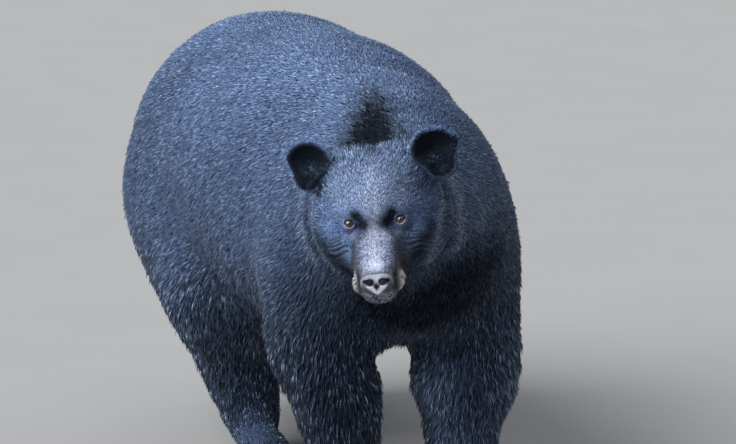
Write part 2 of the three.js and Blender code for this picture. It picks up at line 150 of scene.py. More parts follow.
def head_axes():
    """The head's x, y and z axes as rows, from the middles of the eyes and the nose."""
    across = unit(middle("eye_left") - middle("eye_right"))
    between = (middle("eye_left") + middle("eye_right")) / 2
    to_nose = middle("nose") - between
    to_nose = unit(to_nose - across * (to_nose @ across))
    over = np.cross(across, to_nose)
    ahead, up = unit((NOSE_PLACE - EYE_PLACE)[1:])
    y_axis = ahead * to_nose - up * over
    z_axis = up * to_nose + ahead * over
    origin = between - y_axis * EYE_PLACE[1] * MM
    return origin, np.stack([across, y_axis, z_axis])


HEAD_ORIGIN, HEAD_AXES = head_axes()


def in_head(points):
    return (points - HEAD_ORIGIN) @ HEAD_AXES.T / MM


def from_head(points):
    return HEAD_ORIGIN + np.asarray(points) @ HEAD_AXES * MM


def ease(low, high, values):
    """0 at low and 1 at high, with a smooth rise between. low may be the greater."""
    t = np.clip((values - low) / (high - low), 0, 1)
    return t * t * (3 - 2 * t)


def hill(distance, width, power=2):
    """1 at no distance, falling away to 0 over about the given width."""
    return np.exp(-(np.abs(distance / width) ** power))


def mirrored(place, side):
    return np.array(place) * (side, 1, 1)


def away(points, place):
    return np.linalg.norm(points - np.asarray(place), axis=1)


def folded(points):
    """Points with the right half of the head turned over on to the left."""
    return np.stack([np.abs(points[:, 0]), points[:, 1], points[:, 2]], 1)


def from_pair(points, place):
    """How far points are from a place on the left or its mirror image, whichever is nearer."""
    return away(folded(points), place)


def face_plane(h):
    """How far across, to either side, and how far up, as seen from ahead of the eyes."""
    return np.abs(h[:, 0]), h @ RISE


def from_line(points, start, end):
    """How far points are from a line, and how far along it, from 0 to 1."""
    start, end = np.array(start, float), np.array(end, float)
    t = np.clip((points - start) @ (end - start) / ((end - start) @ (end - start)), 0, 1)
    return np.linalg.norm(points - start - t[:, None] * (end - start), axis=1), t


def headness(h):
    """1 on the head, 0 on the rest of the body. h is in the head's axes."""
    return ease(185, 130, h[:, 1]) * ease(HEAD_REACH + 50, HEAD_REACH, away(h, HEAD_MIDDLE))


def earness(h):
    """1 on the ears, 0 on the crown and beyond."""
    beyond = np.abs(h[:, 0]) + 0.6 * h[:, 2]
    return ease(EAR_REACH - 4, EAR_REACH - 18, from_pair(h, EAR_PLACE)) * ease(128, 150, beyond)


# ---- implicit shapes
# Each gives about the distance of points from its surface, in millimetres, and negative inside.
def egg(p, centre, radii):
    q = (p - np.asarray(centre)) / np.asarray(radii)
    reach = np.linalg.norm(q, axis=1)
    slope = np.linalg.norm(q / np.asarray(radii), axis=1)
    return reach * (reach - 1) / np.maximum(slope, 1e-9)


def limb(p, joints):
    """A round tapered limb through joints, each (x, y, z, radius)."""
    nearest = np.full(len(p), np.inf)
    for first, second in zip(joints, joints[1:]):
        reach, t = from_line(p, first[:3], second[:3])
        nearest = np.minimum(nearest, reach - first[3] - t * (second[3] - first[3]))
    return nearest


def blend(radius, *values):
    joined = values[0]
    for other in values[1:]:
        near = np.maximum(radius - np.abs(joined - other), 0) / radius
        joined = np.minimum(joined, other) - near * near * radius / 4
    return joined


def carve(radius, value, tool):
    return -blend(radius, -value, tool)


def paired(make):
    return [make(side) for side in SIDES.values()]


CRANIUM = [  # the middle and radii of each egg, and those to one side are mirrored
    ((0, 104, 18), (108, 106, 92)),
    ((0, 66, 18), (60, 78, 54)),
    ((54, 124, 66), (54, 64, 50)),
    ((48, 42, 17), (28, 30, 20)),
    ((66, 78, -46), (66, 76, 66)),
    ((80, 112, -46), (54, 60, 90)),
    ((0, 72, -90), (76, 92, 58)),
]


def head_mass(p):
    """The head and its coat, out to the tips, with the neck behind it."""
    eggs = [
        egg(p, mirrored(centre, side), radii)
        for centre, radii in CRANIUM
        for side in SIDES.values()
        if side > 0 or centre[0]
    ]
    cranium = blend(26, *eggs)
    upper = blend(
        16,
        *paired(lambda side: limb(p, [(side * 20, 14, -32, 34), (side * 14, -106, -62, 28)])),
        *paired(lambda side: limb(p, [(side * 30, 2, -76, 36), (side * 18, -102, -86, 26)])),
    )
    lower = blend(16, *paired(lambda side: limb(p, [(side * 22, 26, -92, 44), (side * 10, -84, -106, 26)])))
    return blend(70, limb(p, NECK), blend(22, cranium, blend(7, upper, lower)))


# Shallow hollows (+) and swellings (-) of the skin: place on the left, radius, depth.
HOLLOWS = [
    ((34, 0, 18), 12, 3.5),  # inside the brow
    ((24, -12, 2), 10, 2.5),  # beside the root of the muzzle
    ((32, -8, -8), 12, 2.0),  # in front of the inner corner of the eye
    ((64, 10, -16), 16, 2.0),  # below the outer corner
    ((52, 4, 21), 13, -2.5),  # brow
    ((50, -8, -26), 14, -2.0),  # below the eye
    ((62, -6, -66), 20, 3.5),  # between cheek and muzzle
]
MOUTH_BACKS = [-130, -100, -60, -28]
MOUTH_HEIGHTS = [-106, -106, -101, -88]


def eye_opening(p, side):
    """The gap between the lids, in the eye's own directions."""
    q = p - mirrored(EYE_PLACE, side)
    a = q[:, 0] * side
    b = q @ RISE
    tilt = b - 0.10 * a - 0.6
    height = 9.2 - 0.02 * (a + 1) ** 2
    ring = np.hypot((a - 0.3) / 10.2, tilt / height) - 1
    return np.maximum(ring * 6, 7.0 - q @ GAZE)


def ear_turn(side):
    angles = (EAR_TURN[0], side * EAR_TURN[1], side * EAR_TURN[2])
    return np.array(Euler([math.radians(n) for n in angles]).to_matrix())


def ear_place(p, side):
    """Points in an ear's own axes, and the heights of the middles of its top and its foot."""
    return (p - mirrored(EAR_PLACE, side)) @ ear_turn(side), 9 + 4 * side, -18 + 4 * side


def ear_hollow(p, side):
    q, top, foot = ear_place(p, side)
    dish = (q - (0, -25, 0)) * (1, 1.35, 1)
    return limb(dish, [(0, 0, top, 45 + 1.5 * side), (side * 13, 0, foot + 4, 28)])


def ear_shape(p, side):
    q, top, foot = ear_place(p, side)
    flat = (q - (0, -2, 0)) * (1, 2.4, 1)
    tip = (1.5 - 0.5 * side, 0, top, 50.5 + 1.5 * side)
    root = (side * 17 + 3, 0, foot, 31 + 2 * side)
    return carve(4, limb(flat, [tip, root]), ear_hollow(p, side))


def below_eye(h):
    """1 on the part of each cheek that is drawn into folds."""
    wide, up = face_plane(h)
    return headness(h) * hill(wide - 78, 30, 4) * hill(up + 46, 24, 4)


def cheek_folds(h):
    """1 in the hollows of the fine level folds below the eyes, which are sunk and painted dark as shade."""
    wide, up = face_plane(h)
    bent = up + 2.4 * np.sin(h[:, 0] / 8) + 2.2 * np.sin(wide / 19 + up / 7) + 0.12 * wide
    waves = np.sin(bent * 2 * math.pi / 8.5)
    return below_eye(h) * (0.5 - 0.5 * waves)


def face_ring(h):
    """The groove round the cheeks and the neck's ruff, sunk and painted dark as shade, and the ruff's edge
    outside it, a painted highlight.
    """
    wide = np.abs(h[:, 0] + 7)
    up = h @ RISE
    reach = np.hypot(wide / 136, (up - 20) / 150)
    on_face = ease(240, 170, h[:, 1])
    groove = on_face * hill(reach - 0.86, 0.11) * ease(50, -40, up)
    rim = on_face * hill(reach - 1.0, 0.038) * ease(110, 70, up) * ease(-110, -70, up)
    on_neck = ease(40, 80, h[:, 1]) * ease(330, 250, h[:, 1]) * ease(130, 90, up) * ease(-100, -40, up)
    return groove + 0.6 * hill(reach - 1.08, 0.05) * on_neck, rim + 0.8 * hill(reach - 1.21, 0.07) * on_neck


def nape(h):
    """1 along the furrow from the crown back between the shoulders, which is sunk and painted dark as shade.
    """
    x, y, z = h.T
    t = np.clip((y - 140) / 500, 0, 1)
    width = np.interp(t, [0, 0.12, 0.45, 1], [104, 80, 54, 34])
    along = ease(116, 160, y) * ease(660, 300, y) * ease(-20, 30, z)
    parting = hill(x - 2, 15) * ease(84, 116, y) * ease(60, 90, z) * ease(220, 160, y)
    return np.maximum(along * hill(x + 8 + 6 * t, width, 1.9), 0.5 * parting)


def lip_tufts(h):
    """1 in the cream tufts at the ends of the upper lip."""
    gap = (folded(h) - (47, -89, -83)) / (11, 19, 18)
    return np.clip(1.7 * np.exp(-(gap**2).sum(1)), 0, 1)


def brow_patches(h):
    """1 in the patches, painted dark as the shade of the hollows, that slant down to the root of the muzzle
    from above the eyes.
    """
    gap, t = from_line(folded(h), (36, 1, 19), (26, -8, 3))
    return hill(gap, 14 + 2 * t)


def head_skin(p):
    """The skin of the head: the mass less the coat's depth, with hollows, lids, mouth and ears."""
    value = head_mass(p) + LIFT * head_length(p)
    x, y, z = p.T
    for place, radius, depth in HOLLOWS:
        for side in SIDES.values():
            value = value + depth * hill(away(p, mirrored(place, side)), radius)
    brow_furrow = hill(x, 5) * ease(8, 30, z) * ease(95, 60, z)
    under_nose = hill(x, 21, 4) * hill(z + 60, 9, 4) * ease(-108, -118, y)
    mouth = hill(z - np.interp(y, MOUTH_BACKS, MOUTH_HEIGHTS), 2.4) * ease(-22, -34, y)
    split_lip = hill(x, 1.8) * ease(-112, -120, y) * ease(-110, -104, z) * ease(-78, -84, z)
    value = value + 1.6 * brow_furrow + 10 * under_nose + 4.0 * mouth + 2.4 * split_lip
    value = value + 1.8 * cheek_folds(p) + 3.5 * face_ring(p)[0] + 4.0 * nape(p)
    for side in SIDES.values():
        value = blend(7, value, egg(p, mirrored(EYE_PLACE, side), (EYE_RADIUS + 2.0,) * 3))
        value = carve(1.2, value, eye_opening(p, side))
        value = blend(9, value, ear_shape(p, side))
    return value


def settled(points, field, rounds=7):
    """Moves points down the slope of a field on to its surface."""
    step = 0.4
    for _ in range(rounds):
        value = field(points)
        rises = [field(points + step * e) - field(points - step * e) for e in np.eye(3)]
        slope = np.stack(rises, 1) / (2 * step)
        steep = np.maximum((slope**2).sum(1), 0.2)
        move = np.clip(value / steep, -12, 12)
        points = points - move[:, None] * slope
    return points


# ---- the coat's lengths, lie, marks and painted light and shade
def head_length(h):
    """The length of the coat on the head in millimetres."""
    reach = h[:, 1] + 0.45 * np.abs(h[:, 0]) + 0.3 * np.maximum(h[:, 2], 0)
    return np.interp(reach, HEAD_REACHES, HEAD_LENGTHS)


def coat_length(points):
    h = in_head(points)
    length = np.interp(points[:, 2], BODY_HEIGHTS, BODY_LENGTHS)
    length = length + (head_length(h) - length) * headness(h)
    return (length + (EAR_LENGTH - length) * earness(h)) * MM


def wavering(points, wave, seed):
    """A smooth field of small vectors, about -1 to 1, that changes over the given wave length."""
    draw = np.random.default_rng(seed)
    total = np.zeros_like(points)
    for _ in range(9):
        way = unit(draw.normal(size=3)) * 2 * math.pi / (wave * draw.uniform(0.7, 1.5))
        phase = draw.uniform(0, 2 * math.pi)
        total += np.sin(points @ way + phase)[:, None] * unit(draw.normal(size=3))
    return total / 2.2


def lie_of_coat(points, normals):
    """Which way the coat lies: back and down on the trunk, down the legs, back over the head."""
    h = in_head(points)
    z = points[:, 2]
    from_nose = h - (0, -118, -34)
    from_nose[:, 2] -= 30 * ease(0, -60, h[:, 2])
    lie = layered(
        np.array([[0, 1, -0.72]]),
        ((0, 0.22, -1), ease(0.56, 0.36, z)),
        ((0, -1, -0.3), ease(0.12, 0.07, z)),
        (unit(from_nose) @ HEAD_AXES, headness(h)),
    )
    for side in SIDES.values():
        centre = mirrored(EAR_PLACE - (22, 0, 26), side)
        lie = layered(lie, (unit(h - centre) @ HEAD_AXES, earness(h) * (h[:, 0] * side > 0)))
    return unit(across_surface(lie, normals))


def layered(values, *layers):
    """Lays other values over the first ones in turn, each with its own share at each point."""
    for other, share in layers:
        values = values + (other - values) * share[:, None]
    return values


def inside_ear(h):
    """1 in the hollow of an ear and on its edge, and how much of its pale tuft grows there."""
    inside, tuft = np.zeros((2, len(h)))
    for side in SIDES.values():
        q = ear_place(h, side)[0]
        inside = np.maximum(inside, ease(11, 6, ear_hollow(h, side)))
        tuft = tuft + hill(away(q, (side * 5, 4, -9)), 11)
    return inside, tuft


def beside_ear(h):
    """1 in the dark fur between an ear and the crown."""
    return hill(from_pair(h, (84, 108, 108)), 19) * (1 - earness(h))


def chest(points):
    """1 on the fur between the forelegs and under the throat, which is painted dark as shade."""
    x, y, z = points.T
    low = ease(-0.36, -0.52, y) * ease(0.73, 0.59, z) * ease(0.26, 0.14, np.abs(x - 0.03))
    return low * (1 - headness(in_head(points)))


def darkness(points):
    """1 where the fur is so black that it hardly shines: the black ears and beside them, and the fur painted
    dark as shade.
    """
    h = in_head(points)
    groove = np.minimum(face_ring(h)[0], 1)
    return np.max([earness(h), nape(h), groove, brow_patches(h), 0.8 * chest(points), beside_ear(h)], 0)


def body_marks_and_painted_light(points):
    """Painted sky sheen in slate on the back, near black down the legs, painted shade on the chest, with
    broad changes of tone.
    """
    x, y, z = points.T
    # Painted sky sheen: the slate share rises with height, as the light falls from above.
    above = z + 0.17 * ease(-0.35, -0.05, y)
    least = 0.10 + 0.19 * ease(-0.05, 0.25, y) + 0.10 * ease(-0.02, 0.06, x)
    share = least + (0.92 - least) * ease(0.31, 0.78, above)
    # Painted shade: less sheen on the front of the left shoulder, which is turned from the light.
    share = share - 0.15 * ease(0.10, 0.24, x) * ease(-0.15, -0.40, y) * ease(0.4, 0.6, above)
    broad = 1 + 0.20 * wavering(points, 0.26, 12)[:, 0]
    return layered(
        np.tile(BLACK, (len(points), 1)),
        (SLATE_SHEEN, np.clip(share * broad, 0, 1)),
        # Painted highlight on the front of the left wrist, which faces up to the light.
        (SLATE_SHEEN, 0.75 * ease(-0.28, -0.38, y) * ease(0.48, 0.26, z) * ease(-0.04, 0.06, x)),
        # Painted shade on the chest and under the throat.
        (DEEP_BLACK_AND_SHADE, 0.85 * chest(points)),
    )


def face_marks_and_painted_light(colours, h, patchy, mottled):
    """A forehead greyed by painted sky sheen and light, a pale blaze, folds below the eyes painted in shade
    and highlight, and the painted ring round the cheeks.
    """
    x, y, z = h.T
    wide, up = face_plane(h)
    on_head = headness(h)
    top = on_head * ease(0, 50, z) * ease(110, 70, wide)
    blaze_and_highlight = on_head * hill(x - 4, np.interp(up, [0, 30, 60, 130], [17, 24, 26, 7]))
    blaze_and_highlight = blaze_and_highlight * ease(-30, 5, up) * ease(150, 80, up)
    folds = cheek_folds(h)
    groove, rim = face_ring(h)
    return layered(
        colours,
        # Painted sky sheen on the upper head, and painted light on its top.
        (SLATE_SHEEN, 0.85 * on_head * ease(-70, 10, z)),
        (PALE_HIGHLIGHT, 0.35 * top),
        (MIST_HIGHLIGHT, 0.75 * ease(60, 115, y) * top),
        # The blaze: lighter hair, with a painted highlight where the hair parts.
        (PALE_HIGHLIGHT, blaze_and_highlight * np.clip(0.8 + 0.6 * mottled, 0, 1)),
        # Painted highlights on the ridges of the folds below the eyes, and painted shade in their hollows.
        (MIST_HIGHLIGHT, 0.50 * (below_eye(h) - folds)),
        (DEEP_BLACK_AND_SHADE, 0.78 * folds),
        # Painted highlight on the edge of the ruff.
        (MIST_HIGHLIGHT, np.minimum(rim, 1)),
        (PALE_HIGHLIGHT, 0.35 * rim),
        # Painted shade in the groove round the cheeks and in the nape furrow.
        (DEEP_BLACK_AND_SHADE, np.minimum(0.8 * groove, 0.9) * np.clip(0.85 + 0.4 * patchy, 0, 1)),
        (DEEP_BLACK_AND_SHADE, np.clip(nape(h) * (1.3 + 0.5 * patchy), 0, 0.94)),
    )


def muzzle_marks_and_painted_light(colours, h, patchy, mottled, speckled):
    """Lilac-grey on top of the muzzle and in patches down its sides, brown-black lower down, and painted
    light on its left side.
    """
    x, y, z = h.T
    wide, up = face_plane(h)
    on_head = headness(h)
    muzzle = on_head * ease(16, -26, y + 0.5 * np.maximum(wide - 22, 0)) * ease(34, 0, z)
    half_width = np.interp(up, [-110, -70, -30, 0, 20], [34, 36, 31, 20, 14])
    bridge = ease(1.35, 0.45, wide / half_width + 0.28 * mottled) * ease(-98, -66, z)
    core = hill(x + 2, np.interp(up, [-110, -60, 0], [17, 14, 12])) * ease(-124, -108, up)
    uneven = 0.55 * patchy + 0.70 * mottled + 0.50 * speckled
    # Painted light: the left side of the muzzle is made lighter to lift its shade.
    shade = 0.72 + 0.3 * ease(0, 22, x) + (0.28 - 0.2 * ease(-45, -10, up)) * core + (1 - 0.7 * core) * uneven
    chin = on_head * ease(-82, -98, z) * ease(-30, -76, y)
    beside_nose = on_head * hill(wide - 37, 4.5) * ease(-84, -100, y) * ease(-50, -62, z)
    return layered(
        colours,
        (BROWN, 0.85 * muzzle * (1 - bridge)),
        (DUSK, 0.62 * muzzle * bridge),
        (TAUPE, muzzle * bridge * np.clip(shade, 0.05, 1)),
        (LILAC, 0.8 * muzzle * core * ease(-25, -80, up)),
        (TAUPE, 0.4 * on_head * hill(wide - 48, 9) * hill(up + 21, 6.5)),  # below the eyes
        (TAUPE, chin * np.clip(0.76 + 0.3 * patchy + 0.6 * mottled, 0, 1)),
        (DEEP_BLACK_AND_SHADE, 0.85 * beside_nose),
        (CREAM, 0.95 * lip_tufts(h)),
    )


def eye_and_ear_marks_and_painted_light(colours, h, mottled):
    """Painted shade in the hollows above the eyes, dark lids, and black ears with painted slate sheen on
    their backs and a little grey in their hollows.
    """
    lid = hill(from_pair(h, EYE_PLACE) - 15.5, 2.6) * ease(13, 19, h @ RISE)
    on_ear = earness(h)
    inside, tuft = inside_ear(h)
    return layered(
        colours,
        # Painted shade in the hollows above the eyes.
        (DEEP_BLACK_AND_SHADE, np.clip(brow_patches(h) * (1.15 + 0.2 * mottled), 0, 0.92)),
        (DEEP_BLACK_AND_SHADE, 0.85 * lid),
        (BLACK, beside_ear(h)),
        # Painted slate sheen on the backs of the ears.
        (SLATE_SHEEN, 0.35 * on_ear * (1 - inside)),
        (DEEP_BLACK_AND_SHADE, 0.93 * on_ear * inside),
        (SLATE_SHEEN, 0.5 * on_ear * inside * tuft * np.clip(2 * mottled - 0.2, 0, 1)),
    )


def coat_colour(points):
    """The colours that skin and coat share, as linear colours: the markings, with painted light and shade."""
    h = in_head(points)
    patchy = wavering(points, 0.030, 5)[:, 0]
    mottled = wavering(points, 0.009, 8)[:, 1]
    speckled = wavering(points, 0.004, 21)[:, 2]
    colours = face_marks_and_painted_light(body_marks_and_painted_light(points), h, patchy, mottled)
    colours = muzzle_marks_and_painted_light(colours, h, patchy, mottled, speckled)
    return eye_and_ear_marks_and_painted_light(colours, h, mottled)


# ---- meshes
def new_object(name, data, *materials):
    made = bpy.data.objects.new(name, data)
    bpy.context.scene.collection.objects.link(made)
    for material in materials:
        data.materials.append(material)
    return made


def baked(obj):
    """Applies an object's modifiers to its mesh."""
    dg = bpy.context.evaluated_depsgraph_get()
    mesh = bpy.data.meshes.new_from_object(obj.evaluated_get(dg), depsgraph=dg)
    obj.modifiers.clear()
    obj.data = mesh
    return mesh


def read(collection, name, kind, wide=3):
    values = np.empty(len(collection) * wide, kind)
    collection.foreach_get(name, values)
    return values.reshape(-1, wide) if wide > 1 else values


def places_of(mesh):
    return read(mesh.vertices, "co", np.float32).astype(float)


def normals_of(mesh):
    return read(mesh.vertex_normals, "vector", np.float32).astype(float)


def move_to(mesh, points):
    mesh.vertices.foreach_set("co", points.astype(np.float32).ravel())
    mesh.update()


def write_attributes(mesh, **named):
    """Gives each vertex a number, or a colour where the values come in threes."""
    for name, values in named.items():
        kind, field = "FLOAT", "value"
        if np.ndim(values) == 2:
            kind, field = "FLOAT_COLOR", "color"
            values = np.hstack([values, np.ones((len(values), 1))])
        made = mesh.attributes.new(name, kind, "POINT")
        made.data.foreach_set(field, np.ascontiguousarray(values, np.float32).ravel())


def shade_smooth(mesh):
    for polygon in mesh.polygons:
        polygon.use_smooth = True


FLESH = [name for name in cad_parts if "claw" not in name and not name.startswith(("eye", "nose"))]


def body_solid():
    """The frame's body nodes in one mesh, with a plain disc in place of each hollow ear."""
    bm = bmesh.new()
    for name in FLESH:
        if not name.startswith("ear"):
            bm.from_mesh(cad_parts[name].data)
    mesh = bpy.data.meshes.new("skin")
    for side in SIDES.values():
        made = bmesh.ops.create_uvsphere(bm, u_segments=32, v_segments=20, radius=1)
        for vertex in made["verts"]:
            plate = np.maximum(np.array(vertex.co) * (57, 26, 57), (-57, -8, -57))
            place = mirrored(EAR_PLACE, side) + ear_turn(side) @ plate
            vertex.co = Vector(from_head(place))
    bm.to_mesh(mesh)
    bm.free()
    return mesh


def smoothed(points, edges, share, rounds):
    """Evens out a surface, by its own share at each point."""
    a, b = edges.T
    count = len(points)
    near = np.bincount(a, minlength=count) + np.bincount(b, minlength=count)
    for _ in range(rounds):
        total = np.stack(
            [np.bincount(a, points[b, k], count) + np.bincount(b, points[a, k], count) for k in range(3)], 1
        )
        points = points + share[:, None] * (total / near[:, None] - points)
    return points


def refine(mesh, wanted):
    """Halves the grid where wanted(points in the head's axes) is true."""
    chosen = wanted(in_head(places_of(mesh)))
    bm = bmesh.new()
    bm.from_mesh(mesh)
    edges = [e for e in bm.edges if chosen[e.verts[0].index] and chosen[e.verts[1].index]]
    bmesh.ops.subdivide_edges(bm, edges=edges, cuts=1, use_grid_fill=True)
    bm.to_mesh(mesh)
    bm.free()


def near_ear(h):
    return from_pair(h, EAR_PLACE) < EAR_REACH


# Where the grid of the skin is halved, step by step: the head, then the face, then the eyes and lips.
FINER = [
    lambda h: (h[:, 1] < 140) & (away(h, HEAD_MIDDLE) < HEAD_REACH + 10) | near_ear(h),
    lambda h: (h[:, 1] < 26) & (away(h, (0, 0, -30)) < 190) | near_ear(h),
    lambda h: (from_pair(h, EYE_PLACE) < 24)
    | ((h[:, 1] < -62) & (h[:, 2] < -66) & (away(h, (0, -60, -80)) < 120)),
]


def make_skin():
    skin = new_object("skin", body_solid())
    remesh = skin.modifiers.new("remesh", "REMESH")
    remesh.mode = "VOXEL"
    remesh.voxel_size = VOXEL
    mesh = baked(skin)

    points = places_of(mesh)
    edges = read(mesh.edges, "vertices", np.int32, 2)
    h = in_head(points)
    z = points[:, 2]
    share = np.interp(z, SMOOTHING_HEIGHTS, SMOOTHING_SHARES)
    share = share * (1 - 0.8 * headness(h)) * (z > 0.004) * ~near_ear(h)
    points = smoothed(points, edges, share, SMOOTHING_ROUNDS)
    move_to(mesh, points)

    unwrap(skin)
    for wanted in FINER:
        refine(mesh, wanted)
    shape_skin(mesh)
    shade_smooth(mesh)
    return skin


def shape_skin(mesh):
    """Moves the skin in by the coat's depth, and on to its finer shape on the head."""
    points = places_of(mesh)
    normals = normals_of(mesh)
    h = in_head(points)
    off_head = 1 - headness(h)
    depth = LIFT * coat_length(points) - SHRINKAGE * off_head * ease(0.12, 0.40, points[:, 2])
    depth = depth + 0.010 * nape(h) * off_head
    inward = -normals * depth[:, None]
    inward[:, 2] *= ease(0.002, 0.05, points[:, 2])  # the soles stay on the floor
    points = points + inward
    h = in_head(points)
    near = (headness(h) > 0) | near_ear(h)
    rough = h[near]
    share = np.maximum(
        ease(165, 100, rough[:, 1]), ease(EAR_REACH, EAR_REACH - 10, from_pair(rough, EAR_PLACE))
    )
    share = share * ease(HEAD_REACH + 20, HEAD_REACH - 5, away(rough, HEAD_MIDDLE))
    points[near] = from_head(layered(rough, (settled(rough, head_skin), share)))
    move_to(mesh, points)
    write_attributes(mesh, coat_colour=coat_colour(points))


def unwrap(skin):
    bpy.context.view_layer.objects.active = skin
    skin.select_set(True)
    bpy.ops.object.mode_set(mode="EDIT")
    bpy.ops.mesh.select_all(action="SELECT")
    bpy.ops.uv.smart_project(angle_limit=math.radians(70), island_margin=0.002)
    bpy.ops.object.mode_set(mode="OBJECT")
    skin.data.uv_layers[0].name = "OFBake"
    skin.select_set(False)


# ---- tufts
def skin_triangles(mesh):
    mesh.calc_loop_triangles()
    corners = read(mesh.loop_triangles, "vertices", np.int32)
    loops = read(mesh.loop_triangles, "loops", np.int32)
    uv = read(mesh.uv_layers["OFBake"].data, "uv", np.float32, 2).astype(float)
    return places_of(mesh), normals_of(mesh), corners, uv[loops]


def by_length(length, table):
    return np.interp(length / MM, LENGTHS, table)


def scattered(mesh):
    """Roots of tufts over the skin, closer together where the coat is short."""
    points, normals, corners, uv = skin_triangles(mesh)
    a, b, c = (points[corners[:, k]] for k in range(3))
    area = np.linalg.norm(np.cross(b - a, c - a), axis=1) / 2
    centres = (a + b + c) / 3
    spacing = by_length(coat_length(centres), SPACINGS)
    weight = area / spacing**2 * ~bare(centres, unit(np.cross(b - a, c - a)))
    total = np.cumsum(weight)
    picks = (np.arange(TUFTS) + rng.uniform(0, 1, TUFTS)) / TUFTS * total[-1]
    face = np.minimum(np.searchsorted(total, picks), len(total) - 1)
    s, t = rng.uniform(0, 1, (2, TUFTS))
    s, t = np.where(s + t > 1, 1 - s, s), np.where(s + t > 1, 1 - t, t)
    shares = np.stack([1 - s - t, s, t], 1)[:, :, None]
    roots = (points[corners[face]] * shares).sum(1)
    return roots, unit((normals[corners[face]] * shares).sum(1)), (uv[face] * shares).sum(1)


def bare(points, normals):
    """Where no tuft grows: the soles, the nose, and the gap between the lids."""
    h = in_head(points)
    soles = (points[:, 2] < 0.014) & (normals[:, 2] < -0.5)
    nose = egg(h, NOSE_PLACE - (0, 0, 7), (32, 19, 12)) < 0
    return soles | nose | (from_pair(h, EYE_PLACE) < EYE_RADIUS + 1.6)


def scrambled(marks):
    """A number from 0 to 1 for each mark, unlike that of any mark near by."""
    return np.modf(np.abs(np.sin(marks) * 43758.5453))[0]


def clump_centres(points, size, seed):
    """The nearest of a loose grid of points, for each point: the middle of its lock of fur."""
    cell = np.floor(points / size[:, None])
    best = np.full(len(points), np.inf)
    centre = points.copy()
    for offset in np.ndindex(3, 3, 3):
        corner = cell + np.array(offset) - 1
        mark = corner @ np.array([[127.1, 269.5, 113.5], [311.7, 183.3, 271.9], [74.7, 246.1, 124.6]]) + seed
        jitter = scrambled(mark)
        place = (corner + 0.1 + 0.8 * jitter) * size[:, None]
        reach = ((place - points) ** 2).sum(1)
        nearer = reach < best
        best = np.where(nearer, reach, best)
        centre[nearer] = place[nearer]
    return centre


def across_surface(vectors, normals):
    return vectors - normals * (vectors * normals).sum(1, keepdims=True)


# A tuft is a thin closed blade: its corners are its root, the two sides of its knee, and its tip.
TUFT_FACES = np.array([[0, 2, 1], [3, 1, 2], [0, 1, 3], [0, 3, 2]])
TUFT_PATCH = np.array([[0, -1], [-1, 0], [1, 0], [0, 1]]) * ROOT_PATCH


def tuft_tones(roots, over, length, plain):
    """The colour of each tuft, how bright it is, and how strong the glint painted on its tip is."""
    count = len(roots)
    h = in_head(over)
    colours = coat_colour(over)
    fluff = lip_tufts(h)
    legs = np.interp(roots[:, 2], [0.35, 0.60], [1, 0])

    # A tone is shared in part with the tuft's lock.
    locks = clump_centres(roots, by_length(length, SPECKS) * MM, 7.5)
    shared = scrambled(locks @ np.array([12989.8, 78233.1, 37719.3]) + 1)
    drawn = 0.62 * rng.uniform(0, 1, count) + 0.38 * shared
    spread = np.interp(length / MM, [5, 12], [0.6, 0.7])
    spread += (0.42 * ease(0.60, 0.38, roots[:, 2]) - 0.18) * (1 - headness(h))
    tone = 0.85 + spread * (0.12 + 3.4 * drawn**2.8 - 0.85)
    tone += fluff * (np.where(rng.uniform(0, 1, count) < 0.25, 0.2, 1.5 + 2.8 * drawn) - tone)
    # Painted shade: the tufts in the nape furrow are darker.
    tone *= 1 - 0.6 * nape(h)
    greyer = colours.mean(1)[:, None] * GREYER
    colours = layered(colours, (greyer, 0.6 * ease(0.8, 2.4, tone) * (1 - fluff)))

    # A few have glints painted on their tips: more of them down the legs.
    glint = ease(0.91 - 0.07 * legs, 1.0, rng.uniform(0, 1, count)) * spread * plain * (1 - fluff)
    glint *= (2.8 - 0.6 * legs) * (1 - 0.6 * headness(h))
    return colours, tone, glint


def tuft_shapes(roots, normals, lie, over, length, width, plain):
    """The corners of each blade: it rises from its root, bends at its knee, and is drawn to its lock."""
    count = len(roots)
    h = in_head(over)
    fluff = lip_tufts(h)
    standing = headness(h) * ease(60, 95, h[:, 2]) * ease(60, 110, h[:, 1]) * plain
    stray = 0.15 * wavering(roots, 0.11, 3) + 0.07 * wavering(roots, 0.03, 4)
    stray = stray + rng.normal(0, 0.11, (count, 3))
    lie = unit(across_surface(lie + stray * (1 + 2 * fluff[:, None]), normals))
    gather = across_surface(clump_centres(roots, by_length(length, CLUMPS) * MM, 2.5) - roots, normals)
    locks = np.interp(length / MM, [8, 25, 50], [0.10, 0.20, 0.45])[:, None]
    locks = locks * np.interp(roots[:, 2:], [0.40, 0.70], [1.0, 0.5])

    length = length * rng.uniform(0.72, 1.12, count) * (1 + 0.12 * wavering(roots, 0.05, 6)[:, 0])
    length *= (1 + 1.6 * fluff) * (1 - 0.55 * below_eye(h))
    rise = np.radians(rng.normal(21, 6, count) + 16 * fluff + 10 * standing)[:, None]
    fall = np.radians(rng.normal(9, 9, count) + 22 * fluff + 10 * standing)[:, None]
    size = length[:, None]
    base = roots - normals * 0.05 * size
    knee = base + KNEE * size * (lie * np.cos(rise) + normals * np.sin(rise)) + 0.5 * gather * locks
    tip = knee + (1 - KNEE) * size * (lie * np.cos(fall) + normals * np.sin(fall)) + 0.6 * gather * locks
    tip[:, 2] -= 0.05 * length * np.interp(roots[:, 2], [0.2, 0.7], [0.4, 1.0])
    side = unit(np.cross(normals, lie)) * (width * (1 + 0.8 * fluff))[:, None] / 2
    corners = np.stack([base, knee + side, knee - side, tip], 1)
    corners[:, :, 2] = np.maximum(corners[:, :, 2], LOWEST)
    return corners


